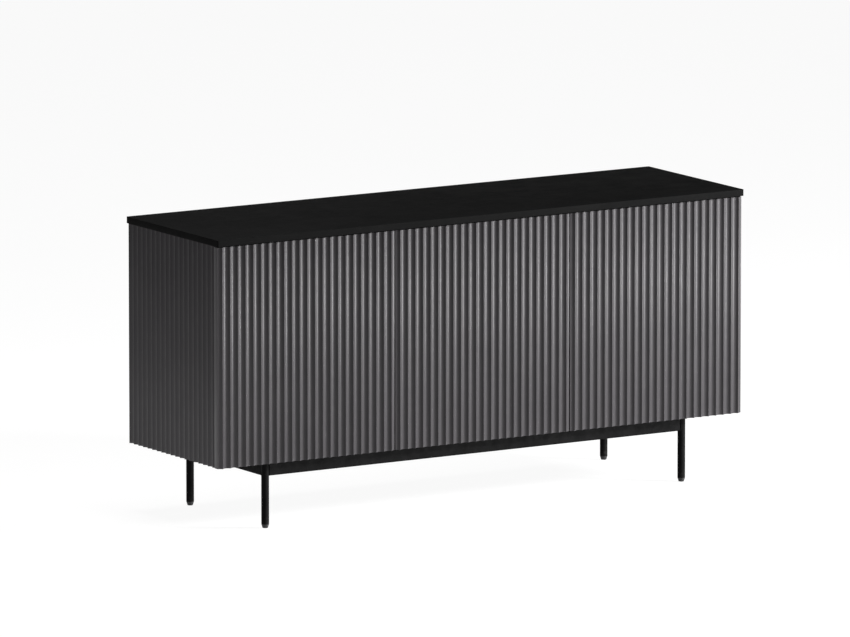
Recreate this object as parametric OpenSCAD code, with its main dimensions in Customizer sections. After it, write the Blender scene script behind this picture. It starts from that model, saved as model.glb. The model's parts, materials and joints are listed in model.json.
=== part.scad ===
// Sideboard with three fluted push-to-open doors on a black steel base.
// Frame: X along the width, front faces -Y, Z up, origin on the floor under the middle of the top.

/* [Cabinet] */
// Width over the fluted side panels
body_w = 1500; // [1350:10:1700]
// Depth from the door ridges to the back edge of the sides
body_d = 427.5; // [400:0.5:480]
// Height of the cabinet box under the top
body_h = 542; // [500:1:620]
// Height of the cabinet's underside above the floor
clear_h = 163; // [130:1:220]
// Thickness of the top, bottom, divider and shelf boards
board_t = 16; // [16:0.5:22]
// Thickness of the back boards
back_t = 3; // [2.5:0.5:4]

/* [Top] */
// Overhang of the top past each side panel
top_over_side = 3; // [1:0.5:8]
// Overhang of the top past the door ridges
top_over_front = 1; // [0.5:0.5:4]
// Overhang of the top past the back edge
top_over_back = 5.5; // [3.5:0.5:8]
// Radius of the top's upright corner edges
top_corner_r = 3; // [1:0.5:6]

/* [Fluting] */
// Thickness of a fluted board at its ridges
flute_t = 22; // [20:0.5:25]
// Depth of a flute below the ridges
flute_depth = 6; // [3:0.5:6.5]
// Width of the flat land on each ridge
ridge_land = 1; // [0.6:0.1:2]
// Number of ridges across one door
door_ridges = 23; // [15:1:30]
// Distance between the ridges of a side panel
side_pitch = 22; // [18:0.5:30]
// Distance of a side panel's first ridge from its front edge
side_first_ridge = 7.5; // [2:0.5:21]

/* [Doors] */
// Gap between two neighbouring doors
door_gap = 3; // [3:0.5:5]
// Gap between a door's top edge and the top board
door_top_gap = 2.5; // [2:0.5:5]
// Gap between a door's back face and the carcass
door_back_gap = 2; // [2:0.5:3]
// Distance of the hinge centres from a door's top and bottom edge
hinge_inset = 90; // [75:5:130]

/* [Base frame] */
// Diameter of the round legs
leg_d = 19; // [16:0.5:25]
// Distance of the leg centres from the middle plane
leg_x = 598; // [500:1:700]
// Distance of the front leg centres behind the door ridges
leg_front_y = 39; // [30:0.5:80]
// Distance of the rear leg centres behind the door ridges
leg_rear_y = 395; // [340:0.5:400]
// Height of the rectangular rail tube
rail_h = 30; // [25:1:40]
// Width of the rectangular rail tube
rail_w = 15; // [12:1:18]
// Wall thickness of the tubes
tube_wall = 1.5; // [1:0.1:2]
// Thickness of the fixing plates on top of the rails
plate_t = 5; // [3:0.5:5]

/* [Hidden] */
$fn = 48;

// Finishes
fluted_grey = [0.33, 0.32, 0.33];
top_black = [0.09, 0.09, 0.09];
carcass_grey = [0.22, 0.22, 0.22];
back_grey = [0.18, 0.18, 0.18];
steel_black = [0.06, 0.06, 0.06];
nickel = [0.72, 0.72, 0.70];
zinc = [0.62, 0.63, 0.64];
plastic_black = [0.04, 0.04, 0.04];
plastic_grey = [0.5, 0.5, 0.5];
beech = [0.80, 0.62, 0.42];

// Levels
body_top_z = clear_h + body_h;
inner_bottom_z = clear_h + board_t;
shelf_z = clear_h + (body_h - board_t) / 2;

// Depth stations: the top board is centred on the origin
top_w = body_w + 2 * top_over_side;
top_d = body_d + top_over_front + top_over_back;
ridge_y = -top_d / 2 + top_over_front;
back_y = ridge_y + body_d;
carcass_front_y = ridge_y + flute_t + door_back_gap;
carcass_back_y = back_y - back_t;

// Doors: each outer door ends flush with a side
door_w = (body_w - 2 * door_gap) / 3;
door_pitch_x = door_w + door_gap;
door_h = body_h - door_top_gap;
hinge_zs = [clear_h + hinge_inset, clear_h + door_h - hinge_inset];

// Width stations: the dividers stand behind the gaps between the doors
side_inner_x = body_w / 2 - flute_t;
divider_x = door_pitch_x / 2;
rebate_w = 10;
back_gap = 0.5;

// Hinge kinematics, from the door's hinge edge and the carcass front, +Y into the cabinet
arm_pivot = [36, 11.5];
cup_pivot = [13, -7.5];
link_knee = [26, -11.5];
pivot_pin_r = 1.5;
pin_play = 0.05;
pin_grip = 0.01;
link_half_h = 4;
link_half_w = 1.5;
knee_r = 1.8;
eye_r = 3.2;
cheek_gap = 0.3;
cheek_z = link_half_h + cheek_gap;
cup_centre_x = 22.5;
cup_r = 17.5;
cup_wall = 0.9;
cup_depth = 13.2;
flange_t = 1.2;
flange_r = 19;
ear_x = 32;
ear_z = 22.5;
ear_half_w = 6;
ear_half_h = 27;
cup_fit = 0.1;
cup_cheek_half_w = 3;
cup_cheek_t = 2;
cup_cheek_setback = 2.5;
cup_screw_len = 11;
cup_screw_head_h = 0.6;
cup_screw_socket_r = 1.4;
cup_pin_half = cheek_z + cup_cheek_t;

// Hinge arm and its mounting plate, in the same coordinates
mount_x = 28.5;
cheek_t = 1.5;
cheek_w = 8;
cheek_eye_r = 4.4;
cheek_neck_half_w = 4;
arm_y = [22, 62];
arm_pin_half = cheek_z + cheek_t + 0.6;
arm_screw_y = 50;
arm_screw_depth = 3;
wing_y = [22, 52];
wing_half_h = 24;
wing_t = 2.5;
wing_screw = [37, 16];
wing_screw_depth = 8;
block_y = [22, 58];

// Wood screws of the fittings
screw_r = 2;
screw_head_r = 3.6;
screw_head_h = 2;
screw_socket_r = 1.8;
screw_socket_depth = 1.2;

// Push latches, one near each door's free edge
latch_inset = 60;
latch_z = body_top_z - 10;
latch_w = 14;
latch_h = 16;
latch_len = 62;
plunger_r = 4;
plunger_len = 48;
plunger_gap = 0.3;
plunger_dimple_r = 1.2;
plunger_dimple_depth = 0.8;
latch_wall = 4;
latch_flange_w = 32;
latch_flange_t = 2.5;
latch_flange_inset = 6;
latch_screw_x = 11.5;
latch_screw_y = [16, 46];
latch_screw_depth = 9;
strike_r = 6;
strike_t = 1;

// Shelf supports
pin_r = 2.5;
pin_out = 8;
pin_in = 7;
pin_collar_r = 3.5;
pin_collar_t = 1.2;
pin_pitch = 32;
pin_rows_y = [carcass_front_y + 50, carcass_back_y - 60];
shelf_setback = 20;
shelf_side_gap = 1.5;
shelf_back_gap = 2;

// Cam fittings
cam_r = 7.5;
cam_depth = 12.5;
cam_offset = 34;
cam_gap = 0.2;
cam_ys = [carcass_front_y + 60, carcass_back_y - 60];
cam_slot_half = 3.7;
cam_slot_floor = -2;
cam_key_r = 1.6;
cam_key_depth = 1.5;
cam_key_z = -4.5;
bolt_r = 3;
bolt_play = 1;
bolt_head_r = 3.4;
bolt_head_h = 3;
bolt_head_z = -1;
bolt_in_board = 10;
bottom_bolt_z = clear_h + cam_depth / 2;
cam_clearance = 0.1;

// Dowels between the dividers and the bottom
dowel_r = 4;
dowel_half_len = 11;
dowel_ys = [carcass_front_y + 30, 0, carcass_back_y - 30];

// Base frame
frame_top_z = clear_h - plate_t;
rail_z = frame_top_z - rail_h;
leg_r = leg_d / 2;
leg_ys = [ridge_y + leg_front_y, ridge_y + leg_rear_y];
glide_h = 9.5;
glide_stem = 16;
glide_tip_inset = 2.6;
glide_tip_bevel = 0.8;
glide_collar_h = 1.5;
glide_collar_inset = 0.5;
glide_waist_inset = 0.9;
plate_size = 62;
plate_screws = [[28, 28], [46, 18]];
tab_w = 50;
tab_d = 34;
tab_screw = [12.5, 24];
frame_screw_len = 13 + plate_t;
frame_screw_r = 2.5;
frame_head_r = 4.5;
frame_head_h = 2.6;
frame_socket_r = 2;
frame_socket_depth = 1.6;

// Back fixing screws
back_screw_r = 1.6;
back_screw_head_r = 3;
back_screw_head_h = 1.2;
back_screw_len = 12;
back_screw_rows = 4;
back_screw_socket_r = 1.2;
back_screw_socket_depth = 0.8;
back_screw_inset = 4;
back_screw_end = 40;

// ---------- helpers ----------

module bar_x(r, x0, x1) {
    translate([x0, 0, 0]) rotate([0, 90, 0]) cylinder(r = r, h = x1 - x0);
}

module bar_y(r, y0, y1) {
    translate([0, y0, 0]) rotate([-90, 0, 0]) cylinder(r = r, h = y1 - y0);
}

module box(a, b) {
    translate(a) cube(b - a);
}

// Screw pointing along +Z: its head lies below z = 0
module screw(len, r, head_r, head_h, socket_r, socket_depth) {
    difference() {
        union() {
            translate([0, 0, -head_h]) cylinder(r = head_r, h = head_h);
            cylinder(r = r, h = len);
        }
        translate([0, 0, -head_h - 1]) cylinder(r = socket_r, h = socket_depth + 1, $fn = 6);
    }
}

// Fitting screw with a hair of play to its own hole
module turned_screw(len) {
    screw(len, screw_r - pin_grip, screw_head_r, screw_head_h, screw_socket_r, screw_socket_depth);
}

// Straight strip between two points of a plane
module strip(p, q, half_w) {
    d = q - p;
    translate(p) rotate(atan2(d[1], d[0])) translate([0, -half_w]) square([norm(d), 2 * half_w]);
}

// Fluted board seen from above: flat back on y = 0, ridges at -y.
// The first ridge stands at x = first, and hollow flutes lie between the ridges.
module fluted_outline(w, pitch, first) {
    flute_w = pitch - ridge_land;
    flute_r = (flute_w * flute_w / 4 + flute_depth * flute_depth) / (2 * flute_depth);
    difference() {
        translate([0, -flute_t]) square([w, flute_t]);
        for (x = [first - pitch / 2 : pitch : w + pitch / 2 - ridge_land])
            translate([x, flute_depth - flute_t - flute_r]) circle(r = flute_r);
    }
}

// Places its children at both hinges of a door: 0 left, 1 middle, 2 right
function hinge_x(door) = door == 2 ? body_w / 2 : -body_w / 2 + door * door_pitch_x;

module at_hinges(door) {
    for (z = hinge_zs)
        translate([hinge_x(door), carcass_front_y, z])
            mirror([door == 2 ? 1 : 0, 0, 0]) children();
}

// Distance from a door's hinge edge to the panel face that carries its hinge
function panel_face(door) = door == 1 ? board_t / 2 - door_gap / 2 : flute_t;

// ---------- carcass ----------

module shelf_pin_holes(x0, x1) {
    for (y = pin_rows_y)
        for (k = [-2 : 2])
            translate([0, y, shelf_z - pin_r + k * pin_pitch]) bar_x(pin_r + pin_play, x0, x1);
}

module plate_screw_holes(door) {
    at_hinges(door)
        for (s = [-1, 1])
            translate([0, wing_screw[0], s * wing_screw[1]])
                bar_x(screw_r, panel_face(door) - wing_screw_depth, panel_face(door));
}

// Pockets for the cam fittings in an upright panel whose inner face is at x, facing side s
module cam_pockets(x, s) {
    for (y = cam_ys)
        translate([x, y, body_top_z]) {
            translate([0, 0, -cam_offset])
                bar_x(cam_r + cam_clearance, min(0, -s * cam_depth), max(0, -s * cam_depth));
            translate([-s * cam_depth / 2, 0, -cam_offset])
                cylinder(r = bolt_r + bolt_play, h = cam_offset + 1);
        }
}

module side_panel(s) {
    color(fluted_grey) difference() {
        mirror([s < 0 ? 1 : 0, 0, 0]) translate([side_inner_x, carcass_front_y, clear_h])
            rotate(90) linear_extrude(height = body_h)
                fluted_outline(back_y - carcass_front_y, side_pitch, side_first_ridge);
        // rebate for the back board
        translate([s * (side_inner_x + rebate_w / 2), carcass_back_y + back_t, clear_h + body_h / 2])
            cube([rebate_w, 2 * back_t, body_h + 2], center = true);
        shelf_pin_holes(s * side_inner_x - pin_in, s * side_inner_x + pin_in);
        plate_screw_holes(s > 0 ? 2 : 0);
        cam_pockets(s * side_inner_x, -s);
        bottom_bolt_holes(s);
        back_screw_holes(1 + s);
    }
}

// Threaded ends of the horizontal cam bolts that hold the bottom between the sides
module bottom_bolt_holes(s) {
    for (y = cam_ys)
        translate([0, y, bottom_bolt_z])
            bar_x(bolt_r, min(s * side_inner_x, s * (side_inner_x + bolt_in_board)),
                  max(s * side_inner_x, s * (side_inner_x + bolt_in_board)));
}

module side_panel_left() { side_panel(-1); }
module side_panel_right() { side_panel(1); }

module top_panel() {
    color(top_black) difference() {
        translate([0, 0, body_top_z]) linear_extrude(height = board_t) top_outline();
        for (x = upright_bolt_xs(), y = cam_ys)
            translate([x, y, body_top_z - 1]) cylinder(r = bolt_r, h = bolt_in_board + 1);
        latch_screw_places() cylinder(r = screw_r, h = latch_screw_depth);
    }
}

module top_outline() {
    inset = top_corner_r;
    square([top_w - 2 * inset, top_d], center = true);
    square([top_w, top_d - 2 * inset], center = true);
    for (sx = [-1, 1], sy = [-1, 1])
        translate([sx * (top_w / 2 - inset), sy * (top_d / 2 - inset)]) circle(r = inset);
}

// Where the upright cam bolts stand: half a cam depth inside each upright's fitting face
function upright_bolt_xs() = [
    -side_inner_x - cam_depth / 2,
    -divider_x + board_t / 2 - cam_depth / 2,
    divider_x - board_t / 2 + cam_depth / 2,
    side_inner_x + cam_depth / 2
];

module bottom_panel() {
    color(carcass_grey) difference() {
        box([-side_inner_x, carcass_front_y, clear_h],
            [side_inner_x, carcass_back_y, inner_bottom_z]);
        for (s = [-1, 1], y = cam_ys) {
            translate([s * (side_inner_x - cam_offset), y, clear_h])
                cylinder(r = cam_r + cam_clearance, h = cam_depth);
            translate([0, y, bottom_bolt_z])
                bar_x(bolt_r + bolt_play, min(s * (side_inner_x - cam_offset), s * (side_inner_x + 1)),
                      max(s * (side_inner_x - cam_offset), s * (side_inner_x + 1)));
        }
        for (s = [-1, 1], y = dowel_ys)
            translate([s * divider_x, y, inner_bottom_z - dowel_half_len])
                cylinder(r = dowel_r, h = dowel_half_len + 1);
        for (bay = [0 : 2])
            back_screw_holes(bay);
        frame_screw_places() cylinder(r = frame_screw_r, h = frame_screw_len);
    }
}

module divider(s) {
    x = s * divider_x;
    color(carcass_grey) difference() {
        box([x - board_t / 2, carcass_front_y, inner_bottom_z],
            [x + board_t / 2, carcass_back_y, body_top_z]);
        for (f = [-1, 1])
            shelf_pin_holes(x + f * board_t / 2 - (f > 0 ? pin_in : 1),
                            x + f * board_t / 2 + (f > 0 ? 1 : pin_in));
        if (s < 0) plate_screw_holes(1);
        cam_pockets(x - s * board_t / 2, -s);
        back_screw_holes(1);
        back_screw_holes(1 + s);
        for (y = dowel_ys)
            translate([x, y, inner_bottom_z - 1]) cylinder(r = dowel_r, h = dowel_half_len + 1);
    }
}

module divider_left() { divider(-1); }
module divider_right() { divider(1); }

// Bay limits, left to right
function bay_x(bay) = bay == 0 ? [-side_inner_x, -divider_x - board_t / 2]
    : bay == 1 ? [-divider_x + board_t / 2, divider_x - board_t / 2]
    : [divider_x + board_t / 2, side_inner_x];

// Back boards meet on the dividers' middle planes
function back_x(bay) = bay == 0 ? [-side_inner_x - rebate_w + back_gap, -divider_x - back_gap]
    : bay == 1 ? [-divider_x + back_gap, divider_x - back_gap]
    : [divider_x + back_gap, side_inner_x + rebate_w - back_gap];

module back_panel(bay) {
    x = back_x(bay);
    color(back_grey) difference() {
        box([x[0], carcass_back_y, clear_h + back_gap], [x[1], back_y, body_top_z - back_gap]);
        back_screw_holes(bay);
    }
}

module back_screw_holes(bay) {
    back_screw_places(bay) bar_y(back_screw_r, -back_screw_len, 1);
}

module back_panel_left() { back_panel(0); }
module back_panel_middle() { back_panel(1); }
module back_panel_right() { back_panel(2); }

// Screw heads sit on the outer face of the back boards
module back_screw_places(bay) {
    x = back_x(bay);
    step = (body_h - 2 * back_screw_end) / (back_screw_rows - 1);
    for (sx = [x[0] + back_screw_inset, x[1] - back_screw_inset], k = [0 : back_screw_rows - 1])
        translate([sx, back_y, clear_h + back_screw_end + k * step]) children();
    translate([(x[0] + x[1]) / 2, back_y, clear_h + board_t / 2]) children();
}

module back_screws() {
    color(zinc) for (bay = [0 : 2])
        back_screw_places(bay) rotate([90, 0, 0])
            screw(back_screw_len - pin_play, back_screw_r - pin_grip,
                  back_screw_head_r, back_screw_head_h, back_screw_socket_r, back_screw_socket_depth);
}

module shelf(bay) {
    x = bay_x(bay);
    color(carcass_grey)
        box([x[0] + shelf_side_gap, carcass_front_y + shelf_setback, shelf_z],
            [x[1] - shelf_side_gap, carcass_back_y - shelf_back_gap, shelf_z + board_t]);
}

module shelf_left() { shelf(0); }
module shelf_middle() { shelf(1); }
module shelf_right() { shelf(2); }

module shelf_pins() {
    color(nickel) for (bay = [0 : 2], y = pin_rows_y)
        for (s = [0, 1]) {
            d = s == 0 ? 1 : -1;
            translate([bay_x(bay)[s], y, shelf_z - pin_r]) {
                bar_x(pin_r, min(-d * pin_in, d * pin_out), max(-d * pin_in, d * pin_out));
                bar_x(pin_collar_r, min(0, d * pin_collar_t), max(0, d * pin_collar_t));
            }
        }
}

// ---------- doors ----------

module door_blank() {
    pitch = door_w / door_ridges;
    linear_extrude(height = door_h) fluted_outline(door_w, pitch, pitch / 2);
}

// Round flange with two ears; its recess in the door is wider by fit all round
module cup_flange_outline(fit) {
    circle(r = flange_r + fit);
    translate([ear_x - cup_centre_x - ear_half_w - fit, -ear_half_h - fit])
        square([2 * (ear_half_w + fit), 2 * (ear_half_h + fit)]);
}

module door(door) {
    x0 = -body_w / 2 + door * door_pitch_x;
    color(fluted_grey) difference() {
        translate([x0, carcass_front_y - door_back_gap, clear_h]) door_blank();
        at_hinges(door) translate([cup_centre_x, -door_back_gap, 0]) {
            bar_y(cup_r + cup_fit, -cup_depth - cup_fit, 1);
            rotate([90, 0, 0]) linear_extrude(height = flange_t) cup_flange_outline(cup_fit);
            for (s = [-1, 1])
                translate([ear_x - cup_centre_x, 0, s * ear_z]) bar_y(screw_r, -cup_screw_len, 0);
        }
        strike_place(door) bar_y(strike_r + pin_play, -strike_t, 1);
    }
}

module door_left() { door(0); }
module door_middle() { door(1); }
module door_right() { door(2); }

// Steel pad let into the door's back face, opposite the latch
module strike_place(door) {
    translate([latch_x(door), carcass_front_y - door_back_gap, latch_z]) children();
}

module strike_plate(door) {
    color(nickel) strike_place(door) bar_y(strike_r, -strike_t, 0);
}

module strike_plate_left() { strike_plate(0); }
module strike_plate_middle() { strike_plate(1); }
module strike_plate_right() { strike_plate(2); }

// ---------- hinges ----------

module hinge_cups(door) {
    color(nickel) at_hinges(door) translate([cup_centre_x, -door_back_gap, 0]) {
        difference() {
            union() {
                bar_y(cup_r, -cup_depth, 0);
                rotate([90, 0, 0]) linear_extrude(height = flange_t) cup_flange_outline(0);
            }
            bar_y(cup_r - cup_wall, -cup_depth + cup_wall, 1);
            for (s = [-1, 1])
                translate([ear_x - cup_centre_x, 0, s * ear_z]) bar_y(screw_r, -flange_t - 1, 1);
        }
        // cheeks that hold the pivot pin inside the cup
        for (s = [-1, 1])
            difference() {
                translate([cup_pivot[0] - cup_centre_x, 0, s * (cheek_z + cup_cheek_t / 2)])
                    box([-cup_cheek_half_w, -cup_depth + cup_wall, -cup_cheek_t / 2],
                        [cup_cheek_half_w, -cup_cheek_setback, cup_cheek_t / 2]);
                translate([cup_pivot[0] - cup_centre_x, cup_pivot[1] + door_back_gap, -cup_pin_half - 1])
                    cylinder(r = pivot_pin_r + pin_grip, h = 2 * (cup_pin_half + 1));
            }
    }
}

module hinge_cups_left() { hinge_cups(0); }
module hinge_cups_middle() { hinge_cups(1); }
module hinge_cups_right() { hinge_cups(2); }

// Goose-neck link: straight from the arm's pivot to the knee, then back to the cup's pivot
module link_outline() {
    difference() {
        union() {
            strip(arm_pivot, link_knee, link_half_w);
            strip(link_knee, cup_pivot, link_half_w);
            translate(link_knee) circle(r = knee_r);
            for (p = [arm_pivot, cup_pivot])
                translate(p) circle(r = eye_r);
        }
        for (p = [arm_pivot, cup_pivot])
            translate(p) circle(r = pivot_pin_r + pin_play);
    }
}

module hinge_links(door) {
    color(nickel) at_hinges(door)
        translate([0, 0, -link_half_h]) linear_extrude(height = 2 * link_half_h) link_outline();
}

module hinge_links_left() { hinge_links(0); }
module hinge_links_middle() { hinge_links(1); }
module hinge_links_right() { hinge_links(2); }

// Arm: two cheeks around the link's eye, joined by a web that lies on the mounting plate
module arm_cheek_outline() {
    difference() {
        union() {
            translate(arm_pivot) circle(r = cheek_eye_r);
            strip(arm_pivot, [mount_x + cheek_w / 2, arm_y[0] + cheek_w / 4], cheek_neck_half_w);
            translate([mount_x, arm_y[0]]) square([cheek_w, arm_y[1] - arm_y[0]]);
        }
        translate(arm_pivot) circle(r = pivot_pin_r + pin_grip);
    }
}

module hinge_arms(door) {
    color(nickel) at_hinges(door) difference() {
        union() {
            for (z = [cheek_z, -cheek_z - cheek_t])
                translate([0, 0, z]) linear_extrude(height = cheek_t) arm_cheek_outline();
            box([mount_x, arm_y[0], -cheek_z], [mount_x + cheek_t, arm_y[1], cheek_z]);
        }
        translate([0, arm_screw_y, 0]) bar_x(screw_r, mount_x - 1, mount_x + cheek_t + 1);
    }
}

module hinge_arms_left() { hinge_arms(0); }
module hinge_arms_middle() { hinge_arms(1); }
module hinge_arms_right() { hinge_arms(2); }

module hinge_mounting_plates() {
    color(nickel) for (door = [0 : 2])
        at_hinges(door) difference() {
            union() {
                box([panel_face(door), wing_y[0], -wing_half_h],
                    [panel_face(door) + wing_t, wing_y[1], wing_half_h]);
                box([panel_face(door) + wing_t, block_y[0], -cheek_z], [mount_x, block_y[1], cheek_z]);
            }
            for (s = [-1, 1])
                translate([0, wing_screw[0], s * wing_screw[1]])
                    bar_x(screw_r, panel_face(door) - 1, panel_face(door) + wing_t + 1);
            translate([0, arm_screw_y, 0]) bar_x(screw_r, mount_x - arm_screw_depth, mount_x + 1);
        }
}

module hinge_plate_screws() {
    color(zinc) for (door = [0 : 2])
        at_hinges(door) {
            for (s = [-1, 1])
                translate([panel_face(door) + wing_t, wing_screw[0], s * wing_screw[1]])
                    rotate([0, -90, 0]) turned_screw(wing_t + wing_screw_depth - pin_play);
            translate([mount_x + cheek_t, arm_screw_y, 0])
                rotate([0, -90, 0]) turned_screw(cheek_t + arm_screw_depth - pin_play);
        }
}

module hinge_arm_pins() {
    color(zinc) for (door = [0 : 2])
        at_hinges(door) translate([arm_pivot[0], arm_pivot[1], -arm_pin_half])
            cylinder(r = pivot_pin_r, h = 2 * arm_pin_half);
}

module cup_pins(door) {
    color(zinc) at_hinges(door) translate([cup_pivot[0], cup_pivot[1], -cup_pin_half])
        cylinder(r = pivot_pin_r, h = 2 * cup_pin_half);
}

module cup_pins_left() { cup_pins(0); }
module cup_pins_middle() { cup_pins(1); }
module cup_pins_right() { cup_pins(2); }

module cup_screws(door) {
    color(zinc) at_hinges(door)
        for (s = [-1, 1])
            translate([ear_x, -door_back_gap, s * ear_z]) rotate([90, 0, 0])
                screw(cup_screw_len - pin_play, screw_r - pin_grip, screw_head_r,
                      cup_screw_head_h, cup_screw_socket_r, cup_screw_head_h / 2);
}

module cup_screws_left() { cup_screws(0); }
module cup_screws_middle() { cup_screws(1); }
module cup_screws_right() { cup_screws(2); }

// ---------- push latches ----------

function latch_x(door) = door == 0 ? -divider_x - latch_inset
    : door == 1 ? divider_x - latch_inset
    : divider_x + latch_inset;

// Two screws on opposite sides of each latch, their points up in the top board
module latch_screw_places() {
    for (door = [0 : 2], k = [0, 1])
        translate([latch_x(door) + (2 * k - 1) * latch_screw_x,
                   carcass_front_y + latch_screw_y[k], body_top_z]) children();
}

module latch_housings() {
    color(plastic_grey) difference() {
        for (door = [0 : 2])
            translate([latch_x(door), carcass_front_y, 0]) difference() {
                union() {
                    box([-latch_w / 2, 0, body_top_z - latch_h], [latch_w / 2, latch_len, body_top_z]);
                    box([-latch_flange_w / 2, latch_flange_inset, body_top_z - latch_flange_t],
                        [latch_flange_w / 2, latch_len - latch_flange_inset, body_top_z]);
                }
                translate([0, 0, latch_z]) bar_y(plunger_r + pin_play, -1, latch_len - latch_wall);
            }
        latch_screw_places() translate([0, 0, -latch_flange_t - 1])
            cylinder(r = screw_r, h = latch_flange_t + 2);
    }
}

module latch_screws() {
    color(zinc) latch_screw_places() translate([0, 0, -latch_flange_t])
        turned_screw(latch_flange_t + latch_screw_depth - pin_play);
}

module latch_plunger(door) {
    front = -door_back_gap + plunger_gap;
    color(plastic_black) translate([latch_x(door), carcass_front_y, latch_z])
        difference() {
            bar_y(plunger_r, front, front + plunger_len);
            bar_y(plunger_dimple_r, front - 1, front + plunger_dimple_depth);
        }
}

module latch_plunger_left() { latch_plunger(0); }
module latch_plunger_middle() { latch_plunger(1); }
module latch_plunger_right() { latch_plunger(2); }

// ---------- base frame ----------

module leg(sx, iy) {
    color(steel_black) translate([sx * leg_x, leg_ys[iy], glide_h]) difference() {
        cylinder(r = leg_r, h = frame_top_z - glide_h);
        translate([0, 0, -1]) cylinder(r = leg_r - tube_wall, h = frame_top_z - glide_h + 2);
    }
}

module leg_front_left() { leg(-1, 0); }
module leg_front_right() { leg(1, 0); }
module leg_rear_left() { leg(-1, 1); }
module leg_rear_right() { leg(1, 1); }

// Rectangular tube along X between two legs, coped to their round walls
module rail_along_x(iy) {
    color(steel_black) translate([0, leg_ys[iy], rail_z]) difference() {
        box([-leg_x, -rail_w / 2, 0], [leg_x, rail_w / 2, rail_h]);
        box([-leg_x - 1, -rail_w / 2 + tube_wall, tube_wall],
            [leg_x + 1, rail_w / 2 - tube_wall, rail_h - tube_wall]);
        for (s = [-1, 1])
            translate([s * leg_x, 0, -1]) cylinder(r = leg_r, h = rail_h + 2);
    }
}

module rail_along_y(s) {
    color(steel_black) translate([s * leg_x, 0, rail_z]) difference() {
        box([-rail_w / 2, leg_ys[0], 0], [rail_w / 2, leg_ys[1], rail_h]);
        box([-rail_w / 2 + tube_wall, leg_ys[0] - 1, tube_wall],
            [rail_w / 2 - tube_wall, leg_ys[1] + 1, rail_h - tube_wall]);
        for (y = leg_ys)
            translate([0, y, -1]) cylinder(r = leg_r, h = rail_h + 2);
        // clear of the two long rails
        for (iy = [0, 1])
            box([-rail_w, leg_ys[iy] - rail_w / 2, -1], [rail_w, leg_ys[iy] + rail_w / 2, rail_h + 1]);
    }
}

module rail_front() { rail_along_x(0); }
module rail_rear() { rail_along_x(1); }
module rail_left() { rail_along_y(-1); }
module rail_right() { rail_along_y(1); }

// Corner plates and middle tabs: mirrored copies, x towards the middle, y towards the middle
module at_frame_corners() {
    for (sx = [-1, 1], iy = [0, 1])
        translate([sx * leg_x, leg_ys[iy], frame_top_z])
            mirror([sx > 0 ? 1 : 0, 0, 0]) mirror([0, iy, 0]) children();
}

module at_frame_tabs() {
    for (iy = [0, 1])
        translate([0, leg_ys[iy], frame_top_z]) mirror([0, iy, 0]) children();
}

module frame_screw_places() {
    at_frame_corners()
        for (p = plate_screws)
            translate([p[0], p[1], 0]) children();
    at_frame_tabs()
        for (s = [-1, 1])
            translate([s * tab_screw[0], tab_screw[1], 0]) children();
}

module frame_plates() {
    color(steel_black) difference() {
        union() {
            at_frame_corners() linear_extrude(height = plate_t) polygon([
                [-rail_w / 2, -rail_w / 2], [plate_size, -rail_w / 2], [plate_size, plate_size / 2],
                [plate_size / 2, plate_size], [-rail_w / 2, plate_size]
            ]);
            at_frame_tabs() box([-tab_w / 2, -rail_w / 2, 0], [tab_w / 2, tab_d, plate_t]);
        }
        frame_screw_places() translate([0, 0, -1]) cylinder(r = frame_screw_r, h = plate_t + 2);
    }
}

module frame_screws() {
    color(zinc) frame_screw_places()
        screw(frame_screw_len - pin_play, frame_screw_r - pin_grip,
              frame_head_r, frame_head_h, frame_socket_r, frame_socket_depth);
}

module foot_glides() {
    tip_r = leg_r - glide_tip_inset;
    waist_r = leg_r - glide_waist_inset;
    collar_r = leg_r - glide_collar_inset;
    stem_r = leg_r - tube_wall;
    color(plastic_black) for (sx = [-1, 1], y = leg_ys)
        translate([sx * leg_x, y, 0]) rotate_extrude() polygon([
            [0, 0], [tip_r - glide_tip_bevel, 0], [tip_r, glide_tip_bevel],
            [waist_r, glide_h - glide_collar_h], [collar_r, glide_h - glide_collar_h],
            [collar_r, glide_h], [stem_r, glide_h], [stem_r, glide_h + glide_stem],
            [0, glide_h + glide_stem]
        ]);
}

// ---------- carcass fittings ----------

// Slotted disc; the slot opens towards +Z and takes the bolt's head
module cam_disc() {
    difference() {
        bar_x(cam_r, -cam_depth + cam_gap, 0);
        box([-cam_depth / 2 - cam_slot_half, -cam_slot_half, cam_slot_floor],
            [-cam_depth / 2 + cam_slot_half, cam_slot_half, cam_r + 1]);
        translate([-cam_key_depth, 0, cam_key_z]) rotate([0, 90, 0])
            cylinder(r = cam_key_r, h = cam_key_depth + 1, $fn = 4);
    }
}

module cam_bolt() {
    translate([-cam_depth / 2, 0, 0]) {
        cylinder(r = bolt_r - pin_grip, h = cam_offset + bolt_in_board - pin_play);
        translate([0, 0, bolt_head_z]) cylinder(r = bolt_head_r, h = bolt_head_h);
    }
}

// Cams in the uprights: place of the disc's outer face and the side it faces
function upright_faces() = [
    [-side_inner_x, 1], [-divider_x + board_t / 2, 1],
    [divider_x - board_t / 2, -1], [side_inner_x, -1]
];

module at_upright_cams() {
    for (f = upright_faces(), y = cam_ys)
        translate([f[0], y, body_top_z - cam_offset])
            mirror([f[1] < 0 ? 1 : 0, 0, 0]) children();
}

// Cams under the bottom board hold the sides: local +Z points at the side, local +X down
module at_bottom_cams() {
    for (s = [-1, 1], y = cam_ys)
        translate([s * (side_inner_x - cam_offset), y, clear_h])
            mirror([s < 0 ? 1 : 0, 0, 0]) rotate([0, 90, 0]) children();
}

module cam_discs() {
    color(zinc) {
        at_upright_cams() cam_disc();
        at_bottom_cams() cam_disc();
    }
}

module cam_bolts() {
    color(zinc) {
        at_upright_cams() cam_bolt();
        at_bottom_cams() cam_bolt();
    }
}

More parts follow.
